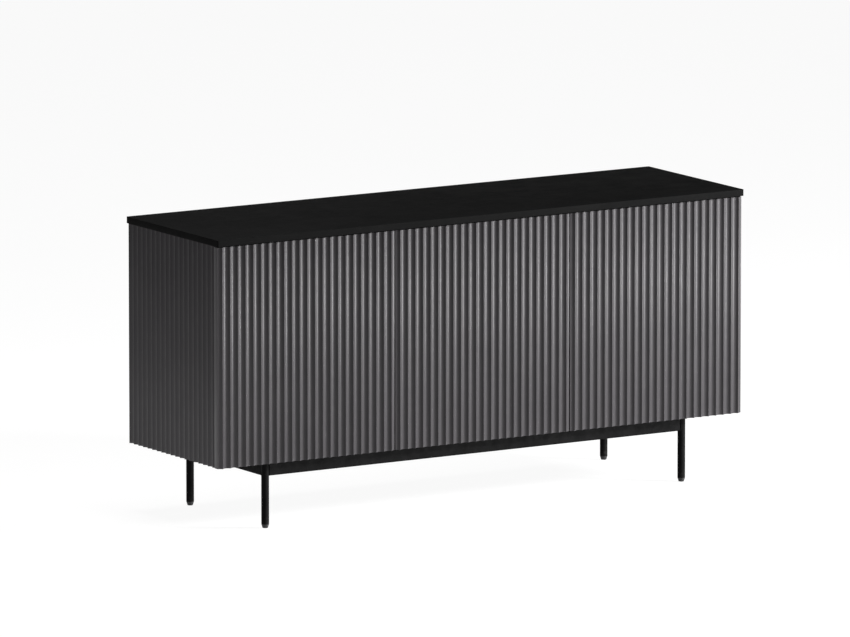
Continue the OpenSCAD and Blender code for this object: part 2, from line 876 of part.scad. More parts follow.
module dowels() {
    color(beech) for (s = [-1, 1], y = dowel_ys)
        translate([s * divider_x, y, inner_bottom_z - dowel_half_len + pin_play])
            cylinder(r = dowel_r - pin_grip, h = 2 * (dowel_half_len - pin_play));
}

top_panel();
side_panel_left();
side_panel_right();
bottom_panel();
divider_left();
divider_right();
back_panel_left();
back_panel_middle();
back_panel_right();
shelf_left();
shelf_middle();
shelf_right();
shelf_pins();
door_left();
door_middle();
door_right();
hinge_cups_left();
hinge_cups_middle();
hinge_cups_right();
hinge_links_left();
hinge_links_middle();
hinge_links_right();
hinge_arms_left();
hinge_arms_middle();
hinge_arms_right();
hinge_mounting_plates();
hinge_arm_pins();
cup_pins_left();
cup_pins_middle();
cup_pins_right();
cup_screws_left();
cup_screws_middle();
cup_screws_right();
hinge_plate_screws();
latch_housings();
latch_screws();
latch_plunger_left();
latch_plunger_middle();
latch_plunger_right();
strike_plate_left();
strike_plate_middle();
strike_plate_right();
leg_front_left();
leg_front_right();
leg_rear_left();
leg_rear_right();
rail_front();
rail_rear();
rail_left();
rail_right();
frame_plates();
frame_screws();
foot_glides();
cam_discs();
cam_bolts();
dowels();
back_screws();
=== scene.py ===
import json
import math

import bmesh
import bpy
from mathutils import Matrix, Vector


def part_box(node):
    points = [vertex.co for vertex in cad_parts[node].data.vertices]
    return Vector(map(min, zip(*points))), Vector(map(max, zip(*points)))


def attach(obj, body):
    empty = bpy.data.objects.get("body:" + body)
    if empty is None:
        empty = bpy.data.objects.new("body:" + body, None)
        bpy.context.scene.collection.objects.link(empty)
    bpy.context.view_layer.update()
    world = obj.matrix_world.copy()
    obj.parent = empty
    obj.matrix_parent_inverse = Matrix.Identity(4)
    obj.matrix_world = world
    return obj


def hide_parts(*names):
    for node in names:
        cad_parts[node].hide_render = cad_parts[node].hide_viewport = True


# The looks of the sideboard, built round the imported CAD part
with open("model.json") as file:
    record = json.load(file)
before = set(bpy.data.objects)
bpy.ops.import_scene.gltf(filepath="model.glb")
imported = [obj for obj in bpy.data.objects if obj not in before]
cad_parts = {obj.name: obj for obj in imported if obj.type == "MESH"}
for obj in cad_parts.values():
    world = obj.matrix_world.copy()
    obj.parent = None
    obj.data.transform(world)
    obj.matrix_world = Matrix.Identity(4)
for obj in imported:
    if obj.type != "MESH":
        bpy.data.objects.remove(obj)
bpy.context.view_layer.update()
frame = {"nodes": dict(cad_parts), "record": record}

MM = 0.001

DOORS = ("left", "middle", "right")

# Stations of the CAD part, in metres
top_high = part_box("top_panel")[1]
side_low, side_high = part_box("side_panel_right")
back_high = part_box("back_panel_middle")[1]
leg_low, leg_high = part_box("leg_front_right")
rear_leg_low, rear_leg_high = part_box("leg_rear_right")
rail_low, rail_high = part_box("rail_front")

TOP_X, TOP_Y = top_high[0], top_high[1]
RIDGE_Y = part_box("door_left")[0][1]
SIDE_X = side_high[0]
CARCASS_FRONT_Y = side_low[1]
BACK_FACE_Y = back_high[1]
LEG_X = (leg_low[0] + leg_high[0]) / 2
LEG_YS = ((leg_low[1] + leg_high[1]) / 2, (rear_leg_low[1] + rear_leg_high[1]) / 2)
LEG_R = (leg_high[0] - leg_low[0]) / 2
LEG_TOP_Z = leg_high[2]
GLIDE_H = leg_low[2]
RAIL_W = rail_high[1] - rail_low[1]
RAIL_H = rail_high[2] - rail_low[2]
RAIL_MID_Z = (rail_low[2] + rail_high[2]) / 2

# Details that no box gives, in metres
FLUTE_DEPTH = 0.006
DUST_TOP = 0.55  # dust lies in a flute from this share of its depth down
WEAR_DEPTH = 0.0007  # and wear shows on a ridge down to this depth
PEARL_DEPTH = 0.00003
EDGE_BAND = 0.001
TUBE_WALL = 0.0015
TUBE_CORNER = 0.002
TUBE_BORE_CORNER = 0.001
LEG_END_ROUND = 0.0003
RAIL_END_IN = 0.0088  # a rail ends this far from the axis of its leg, inside the leg's round wall
BEAD_R = 0.0011
BEAD_RIPPLE = 0.00022
BEAD_SWAY = 0.0001
BEAD_STEP = 0.0009
BEAD_TRIM = 0.0016  # the path of a bead is this much lower than its rail
BEAD_TOP_GAP = 0.0022  # and it stops this far under the top of the rail

# How a CAD mesh is cleaned and rounded: metres and degrees
WELD_DIST = 2e-6
JOIN_DIST = 1e-7
FLAT_ANGLE = 0.6
BEVEL_ANGLE = 28.0
SMOOTH_ANGLE = 32.0
BEAD_SMOOTH_ANGLE = 50.0

# Base colours, linear: each surface is mottled between a dark and a light one
LACQUER_DARK = (0.0350, 0.0330, 0.0353)
LACQUER_LIGHT = (0.0390, 0.0368, 0.0393)
LACQUER_STREAK = (0.0362, 0.0341, 0.0365)
LACQUER_DUST = (0.054, 0.052, 0.051)
LACQUER_WORN = (0.070, 0.068, 0.071)
TOP_DARK = (0.0035, 0.0035, 0.0035)
TOP_LIGHT = (0.0055, 0.0055, 0.0055)
RIM_SEAM = (0.002, 0.002, 0.002)
CARCASS_DARK = (0.046, 0.045, 0.046)
CARCASS_LIGHT = (0.060, 0.058, 0.059)
BACK_PAINT_DARK = (0.032, 0.031, 0.031)
BACK_PAINT_LIGHT = (0.050, 0.048, 0.047)
BACK_BARE_DARK = (0.085, 0.058, 0.036)
BACK_BARE_LIGHT = (0.165, 0.118, 0.076)
BACK_BARE_STAIN = (0.070, 0.047, 0.030)
STEEL_DARK = (0.0020, 0.0020, 0.0021)
STEEL_LIGHT = (0.0034, 0.0033, 0.0035)
STEEL_DUST = (0.055, 0.052, 0.048)
NICKEL_DARK = (0.50, 0.49, 0.46)
NICKEL_LIGHT = (0.66, 0.65, 0.62)
ZINC_DARK = (0.44, 0.45, 0.47)
ZINC_LIGHT = (0.60, 0.61, 0.63)
BLACK_PLASTIC_DARK = (0.008, 0.008, 0.008)
BLACK_PLASTIC_LIGHT = (0.014, 0.014, 0.014)
GREY_PLASTIC_DARK = (0.16, 0.16, 0.165)
GREY_PLASTIC_LIGHT = (0.21, 0.21, 0.215)
BEECH_DARK = (0.42, 0.25, 0.13)
BEECH_LIGHT = (0.60, 0.40, 0.23)
BEECH_FLECK = (0.28, 0.15, 0.07)
FLOOR_DARK = (0.11, 0.11, 0.11)
FLOOR_LIGHT = (0.12, 0.12, 0.12)

# Roughness ranges and specular levels of the large surfaces
LACQUER_ROUGH = (0.34, 0.37)
LACQUER_SPECULAR = 0.14
TOP_ROUGH = (0.60, 0.70)
TOP_SPECULAR = 0.02
CARCASS_ROUGH = (0.42, 0.56)
CARCASS_SPECULAR = 0.2
STEEL_ROUGH = (0.58, 0.70)
STEEL_SPECULAR = 0.04

# Light: area lights in watts, the rest as emission strengths
KEY_POWER = 590.0
SHEEN_POWER = 430.0
BOUNCE_POWER = 6.0
OVERHEAD_POWER = 26.0
FLOOR_GLOW = 0.93
HORIZON_GLOW = 0.90
WORLD_FILL = 0.05
HORIZON_LOW = 0.03  # the glow fades out between these two heights on the world's unit sphere
HORIZON_HIGH = 0.08

FLOOR_REACH = 60.0
FLOOR_DROP = 0.0002  # keeps the floor just under the feet

# The view: a long lens, from the left front and a little above
VIEW_YAW = math.radians(31.677)
VIEW_PITCH = math.radians(9.571)
VIEW_DISTANCE = 30.514
AIM = Vector((-0.0351, 0.0, 0.4375))
LENS = 528.45
SENSOR = 36.0


# ---------- materials ----------

class Nodes:
    """A small builder for one procedural material, patterned in its piece's own coordinates."""

    def __init__(self, name):
        self.mat = bpy.data.materials.new("look_" + name)
        self.mat.use_nodes = True
        self.tree = self.mat.node_tree
        self.tree.nodes.clear()
        out = self.tree.nodes.new("ShaderNodeOutputMaterial")
        self.bsdf = self.tree.nodes.new("ShaderNodeBsdfPrincipled")
        self.tree.links.new(self.bsdf.outputs["BSDF"], out.inputs["Surface"])
        self.coord = self.tree.nodes.new("ShaderNodeTexCoord").outputs["Object"]

    def link(self, value, socket):
        """Feeds a socket from another socket, or sets it to a plain value."""
        if isinstance(value, bpy.types.NodeSocket):
            self.tree.links.new(value, socket)
        else:
            socket.default_value = value

    def node(self, kind, inputs=(), **props):
        n = self.tree.nodes.new(kind)
        for key, value in props.items():
            setattr(n, key, value)
        for key, value in dict(inputs).items():
            self.link(value, n.inputs[key])
        return n

    def axis(self, name):
        return self.node("ShaderNodeSeparateXYZ", {"Vector": self.coord}).outputs[name]

    def noise(self, scale, detail, rough, vector=None):
        """Cloudy noise from 0 to 1."""
        return self.node("ShaderNodeTexNoise", {
            "Vector": vector or self.coord, "Scale": scale, "Detail": detail, "Roughness": rough,
        }).outputs["Fac"]

    def streaks(self, scales, detail, rough):
        """Noise with a scale of its own along X, Y and Z."""
        mapping = self.node("ShaderNodeMapping", {"Vector": self.coord, "Scale": scales})
        return self.noise(1.0, detail, rough, mapping.outputs["Vector"])

    def cells(self, scale):
        """Distance to the nearest of many scattered points."""
        return self.node("ShaderNodeTexVoronoi", {"Vector": self.coord, "Scale": scale}).outputs["Distance"]

    def ramp(self, value, low, high, start=0.0, end=1.0):
        """A smooth step from start to end, as the value goes from low to high."""
        return self.node("ShaderNodeMapRange", {
            "Value": value, "From Min": low, "From Max": high, "To Min": start, "To Max": end,
        }, interpolation_type="SMOOTHSTEP").outputs["Result"]

    def math(self, operation, a, b=0.0):
        n = self.node("ShaderNodeMath", operation=operation)
        self.link(a, n.inputs[0])
        self.link(b, n.inputs[1])
        return n.outputs["Value"]

    def times(self, a, b):
        return self.math("MULTIPLY", a, b)

    def mix(self, fac, a, b):
        """A colour between a and b. The node's colours are inputs 6 and 7 and output 2."""
        n = self.node("ShaderNodeMix", data_type="RGBA")
        self.link(fac, n.inputs["Factor"])
        self.link(a if isinstance(a, bpy.types.NodeSocket) else (*a, 1.0), n.inputs[6])
        self.link(b if isinstance(b, bpy.types.NodeSocket) else (*b, 1.0), n.inputs[7])
        return n.outputs[2]

    def bump(self, height, distance, strength, normal=None):
        inputs = {"Height": height, "Distance": distance, "Strength": strength}
        if normal is not None:
            inputs["Normal"] = normal
        return self.node("ShaderNodeBump", inputs).outputs["Normal"]

    def finish(self, color, rough, normal, **values):
        """Joins up the shader; values go straight onto its sockets."""
        self.link(color, self.bsdf.inputs["Base Color"])
        self.link(rough, self.bsdf.inputs["Roughness"])
        self.link(normal, self.bsdf.inputs["Normal"])
        for key, value in values.items():
            self.bsdf.inputs[key.replace("_", " ")].default_value = value
        return self.mat


def scaled(color, factor):
    return tuple(factor * c for c in color)


def lacquer(name, depth_axis):
    """Satin grey lacquer on milled fibreboard, with dust in the flutes and rubbed ridges."""
    n = Nodes(name)
    if depth_axis == "Y":
        depth = n.math("SUBTRACT", n.axis("Y"), RIDGE_Y)
    else:
        depth = n.math("SUBTRACT", SIDE_X, n.math("ABSOLUTE", n.axis("X")))

    mottle = n.ramp(n.noise(scale=7.0, detail=4.0, rough=0.55), 0.3, 0.7)
    grey = n.mix(mottle, LACQUER_DARK, LACQUER_LIGHT)
    streak = n.ramp(n.streaks((60.0, 60.0, 2.2), detail=3.0, rough=0.6), 0.35, 0.75)
    grey = n.mix(n.times(streak, 0.35), grey, LACQUER_STREAK)

    dusty = n.ramp(n.noise(scale=38.0, detail=5.0, rough=0.65), 0.42, 0.75)
    dust = n.times(n.ramp(depth, DUST_TOP * FLUTE_DEPTH, FLUTE_DEPTH), dusty)
    grey = n.mix(n.times(dust, 0.22), grey, LACQUER_DUST)

    rubbed = n.ramp(n.noise(scale=90.0, detail=4.0, rough=0.6), 0.5, 0.68)
    worn = n.times(n.ramp(depth, WEAR_DEPTH, 0.0001), rubbed)
    grey = n.mix(n.times(worn, 0.18), grey, LACQUER_WORN)

    rough = n.ramp(n.noise(scale=22.0, detail=4.0, rough=0.6), 0.3, 0.7, *LACQUER_ROUGH)
    rough = n.math("SUBTRACT", rough, n.times(worn, 0.05))
    peel = n.bump(n.noise(scale=620.0, detail=2.0, rough=0.5), distance=0.00002, strength=0.4)
    fibre = n.streaks((900.0, 900.0, 90.0), detail=3.0, rough=0.6)
    normal = n.bump(fibre, distance=0.000008, strength=0.3, normal=peel)
    return n.finish(grey, rough, normal, Specular_IOR_Level=LACQUER_SPECULAR)


def melamine(name, dark, light, edge, rough, specular):
    """Board with a pressed pearl texture, faint smudges and an edge band, on its front or round its rim."""
    n = Nodes(name)
    speck = n.ramp(n.noise(scale=1400.0, detail=2.0, rough=0.6), 0.38, 0.66)
    color = n.mix(speck, dark, light)
    smudge = n.ramp(n.noise(scale=9.0, detail=4.0, rough=0.6), 0.35, 0.7)
    color = n.mix(n.times(smudge, 0.35), color, scaled(light, 1.25))
    gloss = n.ramp(n.noise(scale=16.0, detail=5.0, rough=0.65), 0.3, 0.72, *rough)
    pores = n.bump(n.cells(1100.0), PEARL_DEPTH, strength=0.55)
    grain = n.noise(scale=420.0, detail=3.0, rough=0.6)
    normal = n.bump(grain, PEARL_DEPTH, strength=0.4, normal=pores)

    if edge == "front":
        y = n.axis("Y")
        seam_y = CARCASS_FRONT_Y + EDGE_BAND
        band = n.ramp(y, seam_y + 0.0001, seam_y - 0.0001)
        seam = n.times(n.ramp(y, seam_y - 0.00015, seam_y), n.ramp(y, seam_y + 0.00025, seam_y + 0.0001))
        color = n.mix(n.times(band, 0.5), color, scaled(dark, 0.8))
        color = n.mix(n.times(seam, 0.8), color, scaled(dark, 0.25))
    if edge == "rim":
        past_x = n.math("SUBTRACT", n.math("ABSOLUTE", n.axis("X")), TOP_X)
        past_y = n.math("SUBTRACT", n.math("ABSOLUTE", n.axis("Y")), TOP_Y)
        past = n.math("MAXIMUM", past_x, past_y)  # 0 at the rim, negative inside it
        band = n.ramp(past, -EDGE_BAND - 0.0001, -EDGE_BAND + 0.0001)
        seam = n.times(n.ramp(past, -EDGE_BAND - 0.0003, -EDGE_BAND - 0.0001),
                       n.ramp(past, -EDGE_BAND + 0.0002, -EDGE_BAND))
        color = n.mix(n.times(band, 0.7), color, scaled(light, 0.6))
        color = n.mix(n.times(seam, 0.7), color, RIM_SEAM)
        gloss = n.math("ADD", gloss, n.times(band, 0.05))
    return n.finish(color, gloss, normal, Specular_IOR_Level=specular)


def fibreboard(name):
    """Thin back board: painted towards the bays, bare pressed fibre behind."""
    n = Nodes(name)
    fibre = n.streaks((420.0, 420.0, 150.0), detail=5.0, rough=0.7)
    felt = n.noise(scale=55.0, detail=5.0, rough=0.7)
    painted = n.mix(n.ramp(fibre, 0.35, 0.7), BACK_PAINT_DARK, BACK_PAINT_LIGHT)
    bare = n.mix(n.ramp(fibre, 0.32, 0.68), BACK_BARE_DARK, BACK_BARE_LIGHT)
    bare = n.mix(n.times(n.ramp(felt, 0.4, 0.7), 0.4), bare, BACK_BARE_STAIN)
    behind = n.ramp(n.axis("Y"), BACK_FACE_Y - 0.0008, BACK_FACE_Y - 0.0002)
    rough = n.ramp(felt, 0.3, 0.7, 0.58, 0.78)
    normal = n.bump(fibre, distance=0.00008, strength=0.6)
    return n.finish(n.mix(behind, painted, bare), rough, normal, Specular_IOR_Level=0.3)


def powder_coat(name):
    """Black powder coat on steel, with orange peel and a little floor dust low on the legs."""
    n = Nodes(name)
    mottle = n.ramp(n.noise(scale=30.0, detail=4.0, rough=0.6), 0.35, 0.7)
    tint = n.mix(mottle, STEEL_DARK, STEEL_LIGHT)
    dusty = n.ramp(n.noise(scale=140.0, detail=4.0, rough=0.7), 0.42, 0.7)
    low = n.times(n.ramp(n.axis("Z"), 0.05, 0.004), dusty)
    tint = n.mix(n.times(low, 0.25), tint, STEEL_DUST)
    rough = n.ramp(n.noise(scale=48.0, detail=4.0, rough=0.6), 0.3, 0.7, *STEEL_ROUGH)
    rough = n.math("ADD", rough, n.times(low, 0.2))
    peel = n.bump(n.noise(scale=520.0, detail=2.0, rough=0.5), distance=0.00006, strength=0.6)
    grit = n.noise(scale=2100.0, detail=2.0, rough=0.6)
    normal = n.bump(grit, distance=0.00002, strength=0.5, normal=peel)
    return n.finish(tint, rough, normal, Specular_IOR_Level=STEEL_SPECULAR)


def plated(name, dark, light, rough, brushed):
    """Plated steel: satin nickel with a brushed grain, or zinc with faint spangle."""
    n = Nodes(name)
    if brushed:
        grain = n.streaks((260.0, 260.0, 3200.0), detail=3.0, rough=0.6)
    else:
        grain = n.cells(480.0)
    tone = n.mix(n.ramp(grain, 0.25, 0.75), dark, light)
    stain = n.ramp(n.noise(scale=130.0, detail=4.0, rough=0.6), 0.55, 0.75)
    tone = n.mix(n.times(stain, 0.25), tone, scaled(dark, 0.7))
    polish = n.ramp(n.noise(scale=240.0, detail=4.0, rough=0.6), 0.3, 0.7, rough, rough + 0.14)
    return n.finish(tone, polish, n.bump(grain, distance=0.00002, strength=0.35), Metallic=1.0)


def plastic(name, dark, light, rough):
    """Moulded plastic with spark-eroded grain and lighter rubbed spots."""
    n = Nodes(name)
    tone = n.mix(n.ramp(n.noise(scale=75.0, detail=4.0, rough=0.6), 0.35, 0.7), dark, light)
    polish = n.ramp(n.noise(scale=190.0, detail=4.0, rough=0.6), 0.3, 0.7, rough - 0.06, rough + 0.08)
    sparks = n.noise(scale=2300.0, detail=2.0, rough=0.6)
    normal = n.bump(sparks, distance=0.00003, strength=0.55)
    return n.finish(tone, polish, normal, Specular_IOR_Level=0.4)


def wood(name):
    """Beech along Z with short flecks."""
    n = Nodes(name)
    ring = n.streaks((420.0, 420.0, 26.0), detail=4.0, rough=0.6)
    fleck = n.streaks((1500.0, 1500.0, 260.0), detail=3.0, rough=0.6)
    tone = n.mix(n.ramp(ring, 0.3, 0.7), BEECH_DARK, BEECH_LIGHT)
    tone = n.mix(n.times(n.ramp(fleck, 0.56, 0.68), 0.6), tone, BEECH_FLECK)
    normal = n.bump(fleck, distance=0.00006, strength=0.6)
    return n.finish(tone, 0.62, normal, Specular_IOR_Level=0.3)


def floor_paint(name):
    """Lit white studio floor."""
    n = Nodes(name)
    cloud = n.ramp(n.noise(scale=0.8, detail=3.0, rough=0.5), 0.3, 0.7)
    tone = n.mix(cloud, FLOOR_DARK, FLOOR_LIGHT)
    normal = n.bump(n.noise(scale=220.0, detail=2.0, rough=0.5), distance=0.00002, strength=0.3)
    return n.finish(tone, 0.8, normal, Specular_IOR_Level=0.1, Emission_Color=(1.0, 1.0, 1.0, 1.0),
                    Emission_Strength=FLOOR_GLOW)


MATS = {
    "fluted_front": lacquer("fluted_front", "Y"),
    "fluted_side": lacquer("fluted_side", "X"),
    "top_black": melamine("top_black", TOP_DARK, TOP_LIGHT, "rim", TOP_ROUGH, TOP_SPECULAR),
    "carcass_grey": melamine("carcass_grey", CARCASS_DARK, CARCASS_LIGHT, "front", CARCASS_ROUGH,
                             CARCASS_SPECULAR),
    "back_board": fibreboard("back_board"),
    "steel_black": powder_coat("steel_black"),
    "nickel": plated("nickel", NICKEL_DARK, NICKEL_LIGHT, rough=0.26, brushed=True),
    "zinc": plated("zinc", ZINC_DARK, ZINC_LIGHT, rough=0.34, brushed=False),
    "plastic_black": plastic("plastic_black", BLACK_PLASTIC_DARK, BLACK_PLASTIC_LIGHT, rough=0.5),
    "plastic_grey": plastic("plastic_grey", GREY_PLASTIC_DARK, GREY_PLASTIC_LIGHT, rough=0.48),
    "beech": wood("beech"),
}


# ---------- mesh helpers ----------

def add_object(name, mesh, mat, body, replaces=(), smooth=SMOOTH_ANGLE):
    """A visual piece that moves with a body and stands in for the CAD nodes it replaces."""
    mesh.materials.clear()
    mesh.materials.append(mat)
    mesh.shade_smooth()
    mesh.set_sharp_from_angle(angle=math.radians(smooth))
    ob = bpy.data.objects.new(name, mesh)
    bpy.context.scene.collection.objects.link(ob)
    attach(ob, body)
    if replaces:
        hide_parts(*replaces)
    return ob


def refine(node, mat, body, width, segments=2, slot=None):
    """A new piece from a copy of a CAD node's mesh: welded, its flats made whole, its edges rounded.

    The width of the rounding is in millimetres."""
    bm = bmesh.new()
    bm.from_mesh(frame["nodes"][node].data)
    bmesh.ops.remove_doubles(bm, verts=bm.verts, dist=WELD_DIST)
    bmesh.ops.dissolve_degenerate(bm, edges=bm.edges, dist=WELD_DIST)
    bmesh.ops.dissolve_limit(bm, angle_limit=math.radians(FLAT_ANGLE), verts=bm.verts, edges=bm.edges)
    bm.normal_update()
    mesh = bpy.data.meshes.new(node + "_v")
    bm.to_mesh(mesh)
    bm.free()
    ob = bpy.data.objects.new(node + "_tmp", mesh)
    bpy.context.scene.collection.objects.link(ob)
    bevel = ob.modifiers.new("round", "BEVEL")
    bevel.width = width * MM
    bevel.segments = segments
    bevel.limit_method = "ANGLE"
    bevel.angle_limit = math.radians(BEVEL_ANGLE)
    bevel.use_clamp_overlap = True
    depsgraph = bpy.context.evaluated_depsgraph_get()
    made = bpy.data.meshes.new_from_object(ob.evaluated_get(depsgraph))
    bpy.data.objects.remove(ob)
    return add_object(node + "_v", made, mat, body, (node,))


def loft(bm, rings, closed=False):
    """Joins rings of points of equal length with quads; caps both ends unless the loft is closed."""
    rows = [[bm.verts.new(p) for p in ring] for ring in rings]
    count = len(rows[0])
    pairs = list(zip(rows, rows[1:])) + ([(rows[-1], rows[0])] if closed else [])
    for a, b in pairs:
        for i in range(count):
            j = (i + 1) % count
            bm.faces.new((a[i], a[j], b[j], b[i]))
    if not closed:
        bm.faces.new(reversed(rows[0]))
        bm.faces.new(rows[-1])


def lathe(bm, profile, centre, steps=64):
    """Turns a closed (radius, z) outline about the upright axis through centre."""
    rings = []
    for k in range(steps):
        a = 2 * math.pi * k / steps
        rings.append([(centre[0] + r * math.cos(a), centre[1] + r * math.sin(a), centre[2] + z)
                      for r, z in profile])
    loft(bm, rings, closed=True)


def to_mesh(bm, name):
    """A mesh of what bm holds, joined up and facing outwards; bm is used up."""
    bmesh.ops.remove_doubles(bm, verts=bm.verts, dist=JOIN_DIST)
    bmesh.ops.recalc_face_normals(bm, faces=bm.faces)
    mesh = bpy.data.meshes.new(name)
    bm.to_mesh(mesh)
    bm.free()
    return mesh


def rounded_rect(w, h, r, steps=5):
    """Corner-rounded rectangle about the origin, counter-clockwise."""
    pts = []
    for cx, cy, start in ((w / 2 - r, h / 2 - r, 0), (-w / 2 + r, h / 2 - r, 90),
                          (-w / 2 + r, -h / 2 + r, 180), (w / 2 - r, -h / 2 + r, 270)):
        for k in range(steps + 1):
            a = math.radians(start + 90 * k / steps)
            pts.append((cx + r * math.cos(a), cy + r * math.sin(a)))
    return pts


def sweep(bm, path, radius, sides=10):
    """A bead along an open path; radius is a function of the share of the path."""
    rings = []
    last = len(path) - 1
    for i, p in enumerate(path):
        t = (path[min(i + 1, last)] - path[max(i - 1, 0)]).normalized()
        side = t.orthogonal().normalized() if i == 0 else (side - t * side.dot(t)).normalized()
        up = t.cross(side)
        r = radius(i / last)
        rings.append([p + r * (math.cos(2 * math.pi * k / sides) * side
                               + math.sin(2 * math.pi * k / sides) * up) for k in range(sides)])
    loft(bm, rings)


# ---------- boards and doors ----------

# The body that each CAD node belongs to
BODY_OF = {node: body for body, nodes in frame["record"]["behaviour"]["bodies"].items() for node in nodes}


def refine_all(nodes, mat, **rounding):
    """Refines a list of nodes that share a material and a rounding."""
    for node in nodes:
        refine(node, MATS[mat], BODY_OF[node], **rounding)


for d in DOORS:
    refine("door_" + d, MATS["fluted_front"], "door_" + d, width=0.35, segments=3, slot="fluted_grey")
for s in ("left", "right"):
    refine("side_panel_" + s, MATS["fluted_side"], "cabinet", width=0.35, segments=3, slot="fluted_grey")
refine("top_panel", MATS["top_black"], "cabinet", width=0.8, segments=4)
refine_all(["bottom_panel", "divider_left", "divider_right"] + ["shelf_" + d for d in DOORS],
           "carcass_grey", width=0.5, segments=3)
refine_all(["back_panel_" + d for d in DOORS], "back_board", width=0.3)

# ---------- fittings ----------

refine_all([p + d for p in ("hinge_cups_", "hinge_links_", "hinge_arms_", "strike_plate_") for d in DOORS]
           + ["hinge_mounting_plates", "shelf_pins"], "nickel", width=0.25)
refine_all([p + d for p in ("cup_pins_", "cup_screws_") for d in DOORS]
           + ["hinge_arm_pins", "hinge_plate_screws", "latch_screws", "frame_screws", "cam_discs",
              "cam_bolts", "back_screws"], "zinc", width=0.2)
refine_all(["latch_housings"], "plastic_grey", width=0.4)
refine_all(["latch_plunger_" + d for d in DOORS], "plastic_black", width=0.4, segments=3)
refine_all(["dowels"], "beech", width=0.6)
refine_all(["frame_plates"], "steel_black", width=0.5, segments=3)

# ---------- base frame ----------

LEG_SIDES = {"left": -1, "right": 1}
LEG_ROWS = {"front": 0, "rear": 1}


def leg(row, side):
    """Round tube with broken edges, from the collar of its glide up."""
    bore = LEG_R - TUBE_WALL
    low, high = GLIDE_H, LEG_TOP_Z
    e = LEG_END_ROUND
    wall = [(bore, low + e), (bore + e, low), (LEG_R - e, low), (LEG_R, low + e),
            (LEG_R, high - e), (LEG_R - e, high), (bore + e, high), (bore, high - e)]
    bm = bmesh.new()
    lathe(bm, wall, (LEG_SIDES[side] * LEG_X, LEG_YS[LEG_ROWS[row]], 0.0))
    node = "leg_" + row + "_" + side
    add_object(node + "_v", to_mesh(bm, node + "_v"), MATS["steel_black"], "cabinet", (node,))


def tube(node, start, end, along):
    """Rounded rectangular tube between two legs; its ends run into the legs' round walls."""
    outer = rounded_rect(RAIL_W, RAIL_H, TUBE_CORNER)
    inner = rounded_rect(RAIL_W - 2 * TUBE_WALL, RAIL_H - 2 * TUBE_WALL, TUBE_BORE_CORNER)
    axis = 0 if along == "X" else 1
    a, b = start[axis], end[axis]

    def place(p, t):
        if along == "X":
            return (t, start[1] + p[0], RAIL_MID_Z + p[1])
        return (start[0] + p[0], t, RAIL_MID_Z + p[1])

    # One closed loft: out along the outer wall, back along the inner wall
    rings = [[place(p, a) for p in outer], [place(p, b) for p in outer],
             [place(p, b) for p in inner], [place(p, a) for p in inner]]
    bm = bmesh.new()
    loft(bm, rings, closed=True)
    add_object(node + "_v", to_mesh(bm, node + "_v"), MATS["steel_black"], "cabinet", (node,))


def weld_bead(bm, leg_xy, outward, along, seed):
    """U-shaped bead where a rail meets a leg: down one side, under the rail and up the other."""
    ring = rounded_rect(RAIL_W, RAIL_H - BEAD_TRIM, TUBE_CORNER, 6)
    corner_z = RAIL_H / 2 - TUBE_CORNER
    start = ring.index(min(ring, key=lambda p: (abs(p[0] - RAIL_W / 2), abs(p[1] - corner_z))))
    pts = [ring[(start - k) % len(ring)] for k in range(len(ring))]
    pts = [p for p in pts if p[1] < RAIL_H / 2 - BEAD_TOP_GAP]
    dense = []
    for p, q in zip(pts, pts[1:]):
        n = max(1, int(math.dist(p, q) / BEAD_STEP))
        dense += [(p[0] + (q[0] - p[0]) * k / n, p[1] + (q[1] - p[1]) * k / n) for k in range(n)]
    dense.append(pts[-1])
    path = []
    for u, z in dense:
        reach = math.sqrt(max(LEG_R ** 2 - u ** 2, 0.0)) * outward
        x, y = (leg_xy[0] + reach, leg_xy[1] + u) if along == "X" else (leg_xy[0] + u, leg_xy[1] + reach)
        path.append(Vector((x, y, RAIL_MID_Z + z)))

    def radius(t):
        ripple = BEAD_RIPPLE * math.sin(90 * t + seed)
        sway = BEAD_SWAY * math.sin(37 * t + 2 * seed)
        return BEAD_R + ripple + sway

    sweep(bm, path, radius)


for row in LEG_ROWS:
    for side in LEG_SIDES:
        leg(row, side)
for row, i in LEG_ROWS.items():
    tube("rail_" + row, (-LEG_X + RAIL_END_IN, LEG_YS[i]), (LEG_X - RAIL_END_IN, LEG_YS[i]), "X")
for side, s in LEG_SIDES.items():
    tube("rail_" + side, (s * LEG_X, LEG_YS[0] + RAIL_END_IN), (s * LEG_X, LEG_YS[1] - RAIL_END_IN), "Y")

bm = bmesh.new()
for s in LEG_SIDES.values():
    for i in LEG_ROWS.values():
        at = (s * LEG_X, LEG_YS[i])
        weld_bead(bm, at, -s, "X", 1.0 + s + i)
        weld_bead(bm, at, 1 if i == 0 else -1, "Y", 2.5 + s + 2 * i)
add_object("weld_beads", to_mesh(bm, "weld_beads"), MATS["steel_black"], "cabinet", smooth=BEAD_SMOOTH_ANGLE)

# Outline of a glide as (radius, height): domed foot, groove, collar under the tube and stem in its bore
tip, stem = LEG_R - 0.0026, LEG_R - TUBE_WALL
GLIDE_PROFILE = [
    (0.0, 0.0), (tip - 0.0011, 0.0), (tip - 0.0006, 0.0001), (tip - 0.0002, 0.0004), (tip, 0.0009),
    (LEG_R - 0.0014, 0.0050), (LEG_R - 0.0012, 0.0053), (LEG_R - 0.0016, 0.0056),
    (LEG_R - 0.0016, 0.0061), (LEG_R - 0.0010, 0.0064), (LEG_R - 0.0004, 0.0080),
    (LEG_R - 0.0002, 0.0085), (LEG_R - 0.0002, 0.0092), (LEG_R - 0.0005, GLIDE_H),
    (stem, GLIDE_H), (stem, GLIDE_H + 0.0155), (stem - 0.0008, GLIDE_H + 0.016), (0.0, GLIDE_H + 0.016),
]
bm = bmesh.new()
for s in LEG_SIDES.values():
    for y in LEG_YS:
        lathe(bm, GLIDE_PROFILE, (s * LEG_X, y, 0.0))
